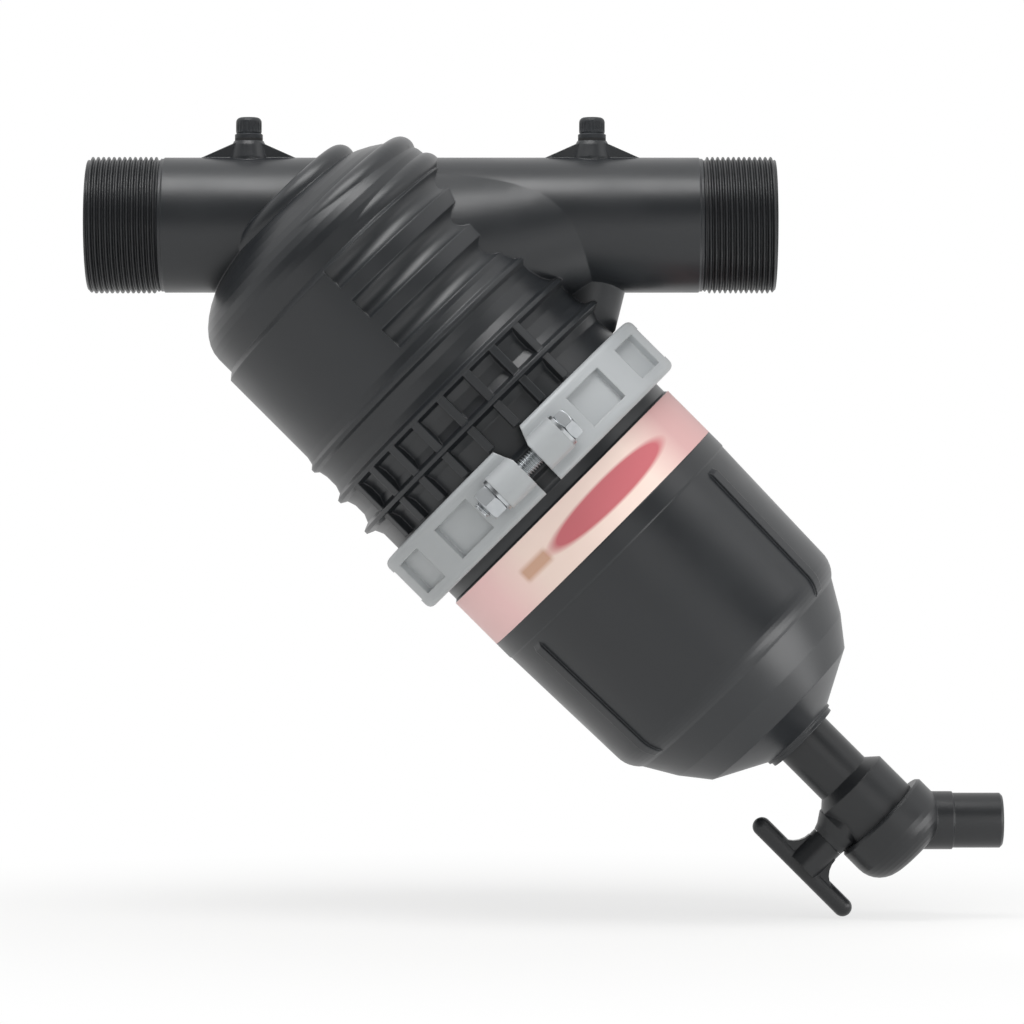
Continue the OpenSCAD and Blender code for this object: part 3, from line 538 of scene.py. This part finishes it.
@dataclass
class Housing:
    """The moulded body with its pipe threads, the cover and the seal between them."""

    shelf: FinishShelf
    pitch_mm: float = 2.309
    depth_mm: float = 1.45
    chamfer_mm: float = 1.5
    root_under_mm: float = 0.1
    slack_mm: float = 0.3

    def build(self) -> None:
        """Cuts the thread roots on a copy of the body and winds the two threads."""
        mounts = [ThreadMount.at(end) for end in PipeEnd]
        moulding = copy_of("body", "body_moulding")
        for mount in mounts:
            self.lower_thread(moulding.data, mount)
        hand_over(moulding, Body.HOUSING, self.shelf.take(Finish.BODY_NYLON), "body")
        for mount in mounts:
            self.wind_thread(mount)

    def lower_thread(self, mesh: bpy.types.Mesh, mount: ThreadMount) -> None:
        """Brings the thread band of one pipe end from the crests down to just under the roots.

        Args:
            mesh: copy of the body's mesh.
            mount: the thread's place and size.
        """
        root = mount.crest_r - (self.depth_mm + self.root_under_mm) * MM
        nearest = -(self.chamfer_mm + self.slack_mm) * MM
        farthest = mount.length + self.slack_mm * MM
        for vertex in mesh.vertices:
            inward = -(vertex.co - mount.place).dot(mount.outward)
            radius = math.hypot(vertex.co.y, vertex.co.z)
            if nearest < inward < farthest and radius > root:
                vertex.co.y *= root / radius
                vertex.co.z *= root / radius

    def wind_thread(self, mount: ThreadMount) -> None:
        """Adds the thread of one pipe end.

        Args:
            mount: the thread's place and size.
        """
        thread = Thread(mount.crest_r, self.pitch_mm * MM, self.depth_mm * MM, -self.chamfer_mm * MM,
                        mount.length, self.chamfer_mm * MM)
        turn = (-mount.outward).to_track_quat("Z", "Y").to_matrix().to_4x4()
        along = Matrix.Translation(mount.place) @ turn
        piece = ringed_mesh(mount.name, thread.rings(along), hollow=True)
        hand_over(piece, Body.HOUSING, self.shelf.take(Finish.BLACK_PLASTIC))

    def dress(self) -> None:
        """Gives the body's solid, the cover and the seal their finishes."""
        self.shelf.dress(Finish.BODY_NYLON, "body", "cover")
        self.shelf.dress(Finish.RUBBER, "cover_seal")


@dataclass
class NeckLabel:
    """Printed film band round the cover's neck, with a plain red lozenge and a plain tan bar, over a ground with
    painted light and shade.
    """

    leg: Leg
    # The lighter front field of the ground is painted light, and its darker sides are painted shade.
    lit_front_at_mm: float = -2.0
    lit_front_mm: tuple[float, float] = (32.0, 58.0)
    shaded_side_change_mm: float = 20.0
    lozenge_at_mm: float = -16.0
    lozenge_half_mm: tuple[float, float] = (40.0, 7.0)
    lozenge_soft: float = 0.2
    bar_at_mm: float = 30.0
    bar_half_mm: tuple[float, float] = (8.0, 3.0)
    bar_soft_mm: float = 2.4
    wave_mm: float = 9.0
    wave_depth_mm: float = 0.12
    roughness: float = 0.5
    ior: float = 1.49
    # The near-white ink is a painted highlight and the browner pink is a painted shade; pink and the marks are
    # print.
    highlight_cream: str = "#f4ddd2"
    pink: str = "#f4cbc9"
    shade_salmon: str = "#d6aba9"
    red: str = "#c7686f"
    tan: str = "#cfa48c"

    def unroll(self, tree: bpy.types.NodeTree,
               spot: bpy.types.NodeSocket) -> tuple[bpy.types.NodeSocket, bpy.types.NodeSocket]:
        """Lays the band out flat.

        Args:
            tree: node tree of the print.
            spot: place on the band in the part's frame.

        Returns:
            Distance round the band from its front and along the leg from its middle, in millimetres.
        """
        low, high = self.leg.box("label_band")
        local = add(tree, "Mapping", {"Vector": spot, "Location": self.leg.place.translation,
                                      "Rotation": self.leg.place.to_euler()}, vector_type="TEXTURE")
        split = add(tree, "SeparateXYZ", {0: local.outputs[0]})
        front = add(tree, "Math", {0: split.outputs["Y"], 1: -1.0}, operation="MULTIPLY")
        angle = add(tree, "Math", {0: split.outputs["X"], 1: front.outputs[0]}, operation="ARCTAN2")
        across = add(tree, "Math", {0: angle.outputs[0], 1: high.x / MM}, operation="MULTIPLY")
        lift = add(tree, "Math", {0: split.outputs["Z"], 1: (low.z + high.z) / 2}, operation="SUBTRACT")
        along = add(tree, "Math", {0: lift.outputs[0], 1: 1 / MM}, operation="MULTIPLY")
        return across.outputs[0], along.outputs[0]

    def ground_with_painted_light(self, tree: bpy.types.NodeTree, across: bpy.types.NodeSocket) -> bpy.types.NodeSocket:
        """Colour under the marks, with painted light and shade: near white at the front where the band faces the
        lamps, turning pink one way round and a darker, browner pink the other, as painted shade.

        Args:
            tree: node tree of the print.
            across: distance round the band from its front in millimetres.

        Returns:
            The colour's output.
        """
        # Painted light and shade: near white at the front, darker round the sides, darkest at the upper right end.
        shift = add(tree, "Math", {0: across, 1: self.lit_front_at_mm}, operation="SUBTRACT")
        off_lit_front = add(tree, "Math", {0: shift.outputs[0]}, operation="ABSOLUTE")
        painted_shade = add(tree, "MapRange", {"Value": off_lit_front.outputs[0], "From Min": self.lit_front_mm[0],
                                        "From Max": self.lit_front_mm[1]})
        side = add(tree, "MapRange", {"Value": across, "From Min": self.shaded_side_change_mm,
                                      "From Max": -self.shaded_side_change_mm})
        ends = add(tree, "Mix", {0: side.outputs["Result"], 6: linear(self.pink), 7: linear(self.shade_salmon)},
                   data_type="RGBA")
        return add(tree, "Mix", {0: painted_shade.outputs["Result"], 6: linear(self.highlight_cream), 7: ends.outputs[2]},
                   data_type="RGBA").outputs[2]

    def lozenge_mask(self, tree: bpy.types.NodeTree, across: bpy.types.NodeSocket,
                     along: bpy.types.NodeSocket) -> bpy.types.NodeSocket:
        """Mask of the lozenge, with the soft rim of a printed shade.

        Args:
            tree: node tree of the print.
            across: distance round the band from its front in millimetres.
            along: distance along the leg from the band's middle in millimetres.

        Returns:
            An output that is 1 inside and 0 outside.
        """
        shift = add(tree, "Math", {0: across, 1: self.lozenge_at_mm}, operation="SUBTRACT")
        long = add(tree, "Math", {0: shift.outputs[0], 1: self.lozenge_half_mm[0]}, operation="DIVIDE")
        wide = add(tree, "Math", {0: along, 1: self.lozenge_half_mm[1]}, operation="DIVIDE")
        pair = add(tree, "CombineXYZ", {"X": long.outputs[0], "Y": wide.outputs[0]})
        reach = add(tree, "VectorMath", {0: pair.outputs[0]}, operation="LENGTH")
        return add(tree, "MapRange", {"Value": reach.outputs["Value"], "From Min": 1.0,
                                      "From Max": 1.0 - self.lozenge_soft}).outputs["Result"]

    def bar_mask(self, tree: bpy.types.NodeTree, across: bpy.types.NodeSocket,
                 along: bpy.types.NodeSocket) -> bpy.types.NodeSocket:
        """Mask of the bar, with soft edges.

        Args:
            tree: node tree of the print.
            across: distance round the band from its front in millimetres.
            along: distance along the leg from the band's middle in millimetres.

        Returns:
            An output that is 1 inside and 0 outside.
        """
        shift = add(tree, "Math", {0: across, 1: self.bar_at_mm}, operation="SUBTRACT").outputs[0]
        soft = self.bar_soft_mm / 2
        masks = []
        for distance, half in zip((shift, along), self.bar_half_mm):
            off = add(tree, "Math", {0: distance}, operation="ABSOLUTE")
            masks.append(add(tree, "MapRange", {"Value": off.outputs[0], "From Min": half + soft,
                                                "From Max": half - soft}).outputs["Result"])
        return add(tree, "Math", {0: masks[0], 1: masks[1]}, operation="MULTIPLY").outputs[0]

    def make_print(self) -> bpy.types.Material:
        """Builds the print.

        Returns:
            The finished material.
        """
        # Printed film: plain fields of colour under a soft, faintly wavy sheen; the ground's lighter front and
        # darker sides are painted light and shade.
        material, tree, shader = new_material("Polypropylene film, printed and laminated")
        spot = add(tree, "TexCoord").outputs["Object"]
        across, along = self.unroll(tree, spot)
        colour = self.ground_with_painted_light(tree, across)
        for mask, ink in ((self.bar_mask, self.tan), (self.lozenge_mask, self.red)):
            colour = add(tree, "Mix", {0: mask(tree, across, along), 6: colour, 7: linear(ink)},
                         data_type="RGBA").outputs[2]
        waves = add(tree, "TexNoise", {"Vector": spot, "Scale": per_mm(self.wave_mm),
                                       "Detail": FINE_DETAIL})
        relief = add(tree, "Bump", {"Height": waves.outputs["Fac"], "Distance": self.wave_depth_mm * MM,
                                    "Strength": 1.0})
        tree.links.new(colour, shader.inputs["Base Color"])
        tree.links.new(relief.outputs["Normal"], shader.inputs["Normal"])
        shader.inputs["Roughness"].default_value = self.roughness
        shader.inputs["IOR"].default_value = self.ior
        return material

    def dress(self) -> None:
        """Prints the band."""
        paint(frame["nodes"]["label_band"], self.make_print())
        log.info("label_band: printed film")


@dataclass
class ClampRing:
    """Two moulded clamp halves with a hinge pin at the back and a bolt, nut and washers at the front."""

    shelf: FinishShelf
    leg: Leg
    bolt_r_mm: float = 4.0
    head_mm: float = 5.3
    pitch_mm: float = 1.25
    depth_mm: float = 0.77
    lead_in_mm: float = 1.1
    hex_steps: int = 96
    turned_share: float = 0.97
    chamfer_slope: float = 0.55
    chamfer_rows: int = 4

    def hex_radius(self, flat_r: float, low: float, high: float) -> RadiusLaw:
        """Radius law of a hexagon whose corners are turned off at both ends.

        Args:
            flat_r: radius to a flat.
            low: height of one end.
            high: height of the other end.

        Returns:
            A function for turned_rings.
        """
        def law(r: float, angle: float, z: float) -> float:
            """Radius at one point: the flat's, or the turned-off corner's if that is less.

            Args:
                r: radius to a corner.
                angle: place round the axis.
                z: place along it.

            Returns:
                The radius there.
            """
            side = (angle + math.pi / 6) % (math.pi / 3) - math.pi / 6
            end = min(z - low, high - z)
            return min(r, flat_r / math.cos(side), flat_r * self.turned_share + end / self.chamfer_slope)
        return law

    def hex_profile(self, flat_r: float, low: float, high: float) -> list[tuple[float, float]]:
        """Profile of a hexagon's outside, with close rings where its corners are turned off.

        Args:
            flat_r: radius to a flat.
            low: height of one end.
            high: height of the other end.

        Returns:
            Radius and height of each ring.
        """
        corner = 2 * flat_r / math.sqrt(3)
        depth = (corner - flat_r * self.turned_share) * self.chamfer_slope
        shares = [i / self.chamfer_rows for i in range(self.chamfer_rows + 1)]
        return ([(corner, low + depth * t) for t in shares]
                + [(corner, high - depth * t) for t in reversed(shares)])

    def build(self) -> None:
        """Makes the bolt with its thread and the nut with its turned corners."""
        low, high = self.leg.box("clamp_bolt")
        nut_low, nut_high = self.leg.box("clamp_nut")
        middle = (nut_low + nut_high) / 2
        axis = self.leg.place @ Matrix.Translation(middle) @ Euler((0, math.pi / 2, 0)).to_matrix().to_4x4()
        start, end = low.x - middle.x, high.x - middle.x
        nut_start, nut_end = nut_low.x - middle.x, nut_high.x - middle.x
        flat_r = min(nut_high.y - nut_low.y, nut_high.z - nut_low.z) / 2
        crest = self.bolt_r_mm * MM
        head_end = start + self.head_mm * MM
        steel = self.shelf.take(Finish.ZINC_STEEL)

        head = turned_rings(self.hex_profile(flat_r, start, head_end),
                            self.hex_radius(flat_r, start, head_end), axis, self.hex_steps)
        thread = Thread(crest, self.pitch_mm * MM, self.depth_mm * MM, head_end, end, self.lead_in_mm * MM,
                        self.hex_steps)
        shank = thread.rings(axis)[:-2]
        bolt = ringed_mesh("bolt_with_thread", head + shank)
        hand_over(bolt, Body.HOUSING, steel, "clamp_bolt")

        outside = turned_rings(self.hex_profile(flat_r, nut_start, nut_end),
                               self.hex_radius(flat_r, nut_start, nut_end), axis, self.hex_steps)
        bore = turned_rings([(crest, nut_end), (crest, nut_start)], lambda r, a, z: r, axis, self.hex_steps)
        nut = ringed_mesh("hexagon_nut", outside + bore, hollow=True)
        hand_over(nut, Body.HOUSING, steel, "clamp_nut")

    def dress(self) -> None:
        """Gives the halves, the pin, the washers and the fasteners' solids their finishes."""
        self.shelf.dress(Finish.CLAMP_NYLON, "clamp_lower_half", "clamp_upper_half")
        self.shelf.dress(Finish.ZINC_STEEL, "clamp_hinge_pin", "clamp_washers", "clamp_bolt", "clamp_nut")


@dataclass
class TestPort:
    """One capped test port on the pipe: a ribbed screw cap on a flat washer."""

    shelf: FinishShelf
    end: PipeEnd
    washer_rim_mm: float = 2.1
    flange_mm: float = 1.6
    flange_rim_mm: float = 0.5
    neck_at_mm: float = 2.2
    neck_depth_mm: float = 0.3
    grip_at_mm: float = 2.6
    crown_mm: float = 2.2
    rib_count: int = 22
    rib_depth_mm: float = 0.35
    rib_fade_mm: float = 1.0
    rows: int = 6
    steps: int = 132

    def build(self) -> None:
        """Makes the cap with grip ribs round its head."""
        node = f"{self.end.value}_test_cap"
        low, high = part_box(node)
        seal_low, seal_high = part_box(f"{self.end.value}_test_seal")
        seat = seal_high.z
        shank_r = (seal_high.x - seal_low.x) / 2 - self.washer_rim_mm * MM
        flange_r = (high.x - low.x) / 2
        head_r = flange_r - self.flange_rim_mm * MM
        crown = self.crown_mm * MM
        grip_low, grip_high = seat + self.grip_at_mm * MM, high.z - crown
        shares = [i / self.rows for i in range(1, self.rows + 1)]
        profile = [(shank_r, low.z), (shank_r, seat), (flange_r, seat),
                   (flange_r, seat + self.flange_mm * MM),
                   (head_r - self.neck_depth_mm * MM, seat + self.neck_at_mm * MM), (head_r, grip_low)]
        profile += [(head_r, grip_low + (grip_high - grip_low) * t) for t in shares]
        profile += [(head_r - crown * (1 - math.cos(math.pi / 2 * t)),
                     grip_high + crown * math.sin(math.pi / 2 * t)) for t in shares]
        place = Matrix.Translation(((low.x + high.x) / 2, (low.y + high.y) / 2, 0))

        def ribbed(r: float, angle: float, z: float) -> float:
            """Radius with the grip's ribs, which fade at both ends of the grip."""
            fade = min(1.0, max(0.0, min(z - grip_low, grip_high - z) / (self.rib_fade_mm * MM)))
            return r - fade * self.rib_depth_mm * MM * (0.5 - 0.5 * math.cos(self.rib_count * angle))

        cap = ringed_mesh(f"{self.end.value}_ribbed_cap", turned_rings(profile, ribbed, place, self.steps))
        hand_over(cap, Body.HOUSING, self.shelf.take(Finish.CAP_PLASTIC), node)

    def dress(self) -> None:
        """Gives the cap's solid and the washer their finishes."""
        self.shelf.dress(Finish.CAP_PLASTIC, f"{self.end.value}_test_cap")
        self.shelf.dress(Finish.RUBBER, f"{self.end.value}_test_seal")


@dataclass
class Cartridge:
    """The disc cartridge inside the leg."""

    shelf: FinishShelf

    def dress(self) -> None:
        """Gives the inner pieces their finishes."""
        self.shelf.dress(Finish.BLACK_PLASTIC, "cartridge_spine", "pressure_plate", "cartridge_nut")
        self.shelf.dress(Finish.DISC_PLASTIC, "filter_discs")
        self.shelf.dress(Finish.SPRING_STEEL, "cartridge_spring")
        self.shelf.dress(Finish.RUBBER, "cartridge_seal")


@dataclass
class DrainValve:
    """The drain ball valve with its T-handle and elbow."""

    shelf: FinishShelf
    leg: Leg
    skirt_drop_mm: float = 0.22
    same_level_mm: float = 0.02

    def build(self) -> None:
        """Lets the skirt of the T-handle's hub down to a hair above the bonnet, on a copy of the handle."""
        grip = copy_of("valve_handle", "t_handle")
        skirt_end = self.leg.box("valve_handle")[0].x + self.same_level_mm * MM
        drop = self.leg.place.to_3x3() @ Vector((-self.skirt_drop_mm * MM, 0, 0))
        back = self.leg.place.inverted()
        for vertex in grip.data.vertices:
            if (back @ vertex.co).x < skirt_end:
                vertex.co += drop
        hand_over(grip, Body.DRAIN_HANDLE, self.shelf.take(Finish.BLACK_PLASTIC),
                  "valve_handle")

    def dress(self) -> None:
        """Gives the valve's pieces their finishes."""
        self.shelf.dress(Finish.BLACK_PLASTIC, "valve_body", "valve_handle", "valve_elbow")
        self.shelf.dress(Finish.ACETAL, "valve_ball", "valve_stem")
        self.shelf.dress(Finish.SEAT_PLASTIC, "valve_inlet_seat", "valve_outlet_seat")
        self.shelf.dress(Finish.RUBBER, "stem_seal")


@dataclass(frozen=True)
class Softbox:
    """A soft rectangular lamp."""

    name: str
    at_m: tuple[float, float, float]
    aim_m: tuple[float, float, float]
    size_m: tuple[float, float]
    watts: float

    def hang(self) -> None:
        """Adds the lamp to the scene."""
        lamp = bpy.data.lights.new(self.name, "AREA")
        lamp.shape = "RECTANGLE"
        lamp.size, lamp.size_y = self.size_m
        lamp.energy = self.watts
        holder = bpy.data.objects.new(self.name, lamp)
        holder.location = self.at_m
        holder.rotation_euler = (Vector(self.aim_m) - Vector(self.at_m)).to_track_quat("-Z", "Y").to_euler()
        bpy.context.scene.collection.objects.link(holder)


@dataclass
class Studio:
    """Pale floor, white background, soft lamps and the camera at the photo's angle."""

    view_mm: tuple[float, float] = (183.55, -125.4)
    view_width_mm: float = 447.8
    distance_mm: float = 2000.0
    sensor_mm: float = 36.0
    clip_end_m: float = 100.0
    floor_gap_mm: float = 1.0
    floor_size_m: float = 12.0
    floor_colour: str = "#f1f1ef"
    floor_roughness: float = 0.9
    shadow_share: float = 0.3
    shadow_mm: tuple[float, float] = (120.0, 420.0)
    ambient: tuple[float, float] = (0.9, 0.22)
    ambient_reach: tuple[float, float] = (-1.0, 0.6)
    dim_front: float = 0.06
    dim_reach: tuple[float, float] = (-0.92, 0.1)
    lamps: tuple[Softbox, ...] = (
        Softbox("overhead_softbox", at_m=(0.04, -0.32, 0.84), aim_m=(0.12, 0.0, 0.0), size_m=(0.7, 0.4),
                watts=6.0),
        Softbox("upper_right_softbox", at_m=(1.0, -0.4, 0.6), aim_m=(0.25, 0.0, -0.1), size_m=(0.5, 0.3),
                watts=0.7),
        Softbox("right_fill", at_m=(0.8, -1.7, 0.1), aim_m=(0.25, 0.0, -0.1), size_m=(1.0, 0.8),
                watts=3.0),
        Softbox("low_right_card", at_m=(0.51, -0.1, -0.235), aim_m=(0.31, 0.0, -0.19), size_m=(0.2, 0.1),
                watts=0.2),
    )

    def seen_directly(self, tree: bpy.types.NodeTree) -> bpy.types.NodeSocket:
        """Tells what is seen or mirrored from what only gives light.

        Args:
            tree: node tree of the floor or the world.

        Returns:
            An output that is 1 on camera, glossy and transmission rays.
        """
        path = add(tree, "LightPath").outputs
        seen = path["Is Camera Ray"]
        for ray in ("Is Glossy Ray", "Is Transmission Ray"):
            seen = add(tree, "Math", {0: seen, 1: path[ray]}, operation="MAXIMUM").outputs[0]
        return seen

    def lay_floor(self) -> None:
        """Lays the pale floor just under the part, shaded near it and white further off."""
        half = self.floor_size_m / 2
        z = CAD_BOX[0].z - self.floor_gap_mm * MM
        mesh = bpy.data.meshes.new("floor")
        corners = [(-half, -half, z), (half, -half, z), (half, half, z), (-half, half, z)]
        mesh.from_pydata(corners, [], [(0, 1, 2, 3)])
        floor = bpy.data.objects.new("floor", mesh)
        bpy.context.scene.collection.objects.link(floor)
        # Matt paper: no shine, only the part's soft shadow.
        material, tree, shader = new_material("Paper sweep, matt white")
        shader.inputs["Base Color"].default_value = linear(self.floor_colour)
        shader.inputs["Roughness"].default_value = self.floor_roughness
        white = add(tree, "Emission", {"Color": WHITE, "Strength": 1.0})
        spot = add(tree, "NewGeometry").outputs["Position"]
        off = add(tree, "VectorMath", {0: spot, 1: (self.view_mm[0] * MM, 0, z)}, operation="DISTANCE")
        clear = add(tree, "MapRange", {"Value": off.outputs["Value"], "From Min": self.shadow_mm[0] * MM,
                                       "From Max": self.shadow_mm[1] * MM, "To Min": 1 - self.shadow_share},
                    interpolation_type="SMOOTHSTEP")
        share = add(tree, "Math", {0: self.seen_directly(tree), 1: clear.outputs["Result"]},
                    operation="MULTIPLY")
        mixed = add(tree, "MixShader", {0: share.outputs[0], 1: shader.outputs[0], 2: white.outputs[0]})
        tree.links.new(mixed.outputs[0], tree.nodes["Material Output"].inputs["Surface"])
        paint(floor, material)

    def fill_world(self) -> None:
        """Makes the background white and the room in front dim, with most ambient light from the front."""
        world = bpy.data.worlds.new("white studio")
        world.use_nodes = True
        tree = world.node_tree
        way = add(tree, "SeparateXYZ", {0: add(tree, "TexCoord").outputs["Generated"]})
        room = add(tree, "MapRange", {"Value": way.outputs["Y"], "From Min": self.dim_reach[0],
                                      "From Max": self.dim_reach[1], "To Min": self.dim_front},
                   interpolation_type="SMOOTHSTEP")
        camera = add(tree, "LightPath").outputs["Is Camera Ray"]
        shown = add(tree, "Math", {0: room.outputs["Result"], 1: camera}, operation="MAXIMUM")
        ambient = add(tree, "MapRange", {"Value": way.outputs["Y"], "From Min": self.ambient_reach[0],
                                         "From Max": self.ambient_reach[1], "To Min": self.ambient[0],
                                         "To Max": self.ambient[1]})
        strength = add(tree, "Mix", {0: self.seen_directly(tree), 2: ambient.outputs["Result"],
                                     3: shown.outputs[0]})
        back = tree.nodes["Background"]
        back.inputs["Color"].default_value = WHITE
        tree.links.new(strength.outputs[0], back.inputs["Strength"])
        bpy.context.scene.world = world

    def set_camera(self) -> None:
        """Sets the camera square to the part's front, as the photo shows it."""
        lens = bpy.data.cameras.new("camera")
        lens.sensor_width = self.sensor_mm
        lens.lens = self.sensor_mm * self.distance_mm / self.view_width_mm
        lens.clip_end = self.clip_end_m
        camera = bpy.data.objects.new("camera", lens)
        camera.location = (self.view_mm[0] * MM, -self.distance_mm * MM, self.view_mm[1] * MM)
        camera.rotation_euler = (math.pi / 2, 0, 0)
        bpy.context.scene.collection.objects.link(camera)
        bpy.context.scene.camera = camera

    def build(self) -> None:
        """Sets up floor, world, lamps and camera."""
        bpy.context.scene.view_settings.view_transform = "Standard"
        self.lay_floor()
        self.fill_world()
        for lamp in self.lamps:
            lamp.hang()
        self.set_camera()
        log.info("studio: %d lamps", len(self.lamps))


def main() -> None:
    """Builds and dresses the filter, sub-assembly by sub-assembly, and then the studio."""
    logging.basicConfig(level=logging.INFO, format="%(message)s")
    shelf = FinishShelf()
    leg = Leg.from_frame()
    ports = [TestPort(shelf, end) for end in PipeEnd]
    built = [Housing(shelf), ClampRing(shelf, leg), *ports, DrainValve(shelf, leg)]
    for part in built:
        part.build()
    for part in (*built, NeckLabel(leg), Cartridge(shelf)):
        part.dress()
    Studio().build()


if __name__ == "__main__":
    main()
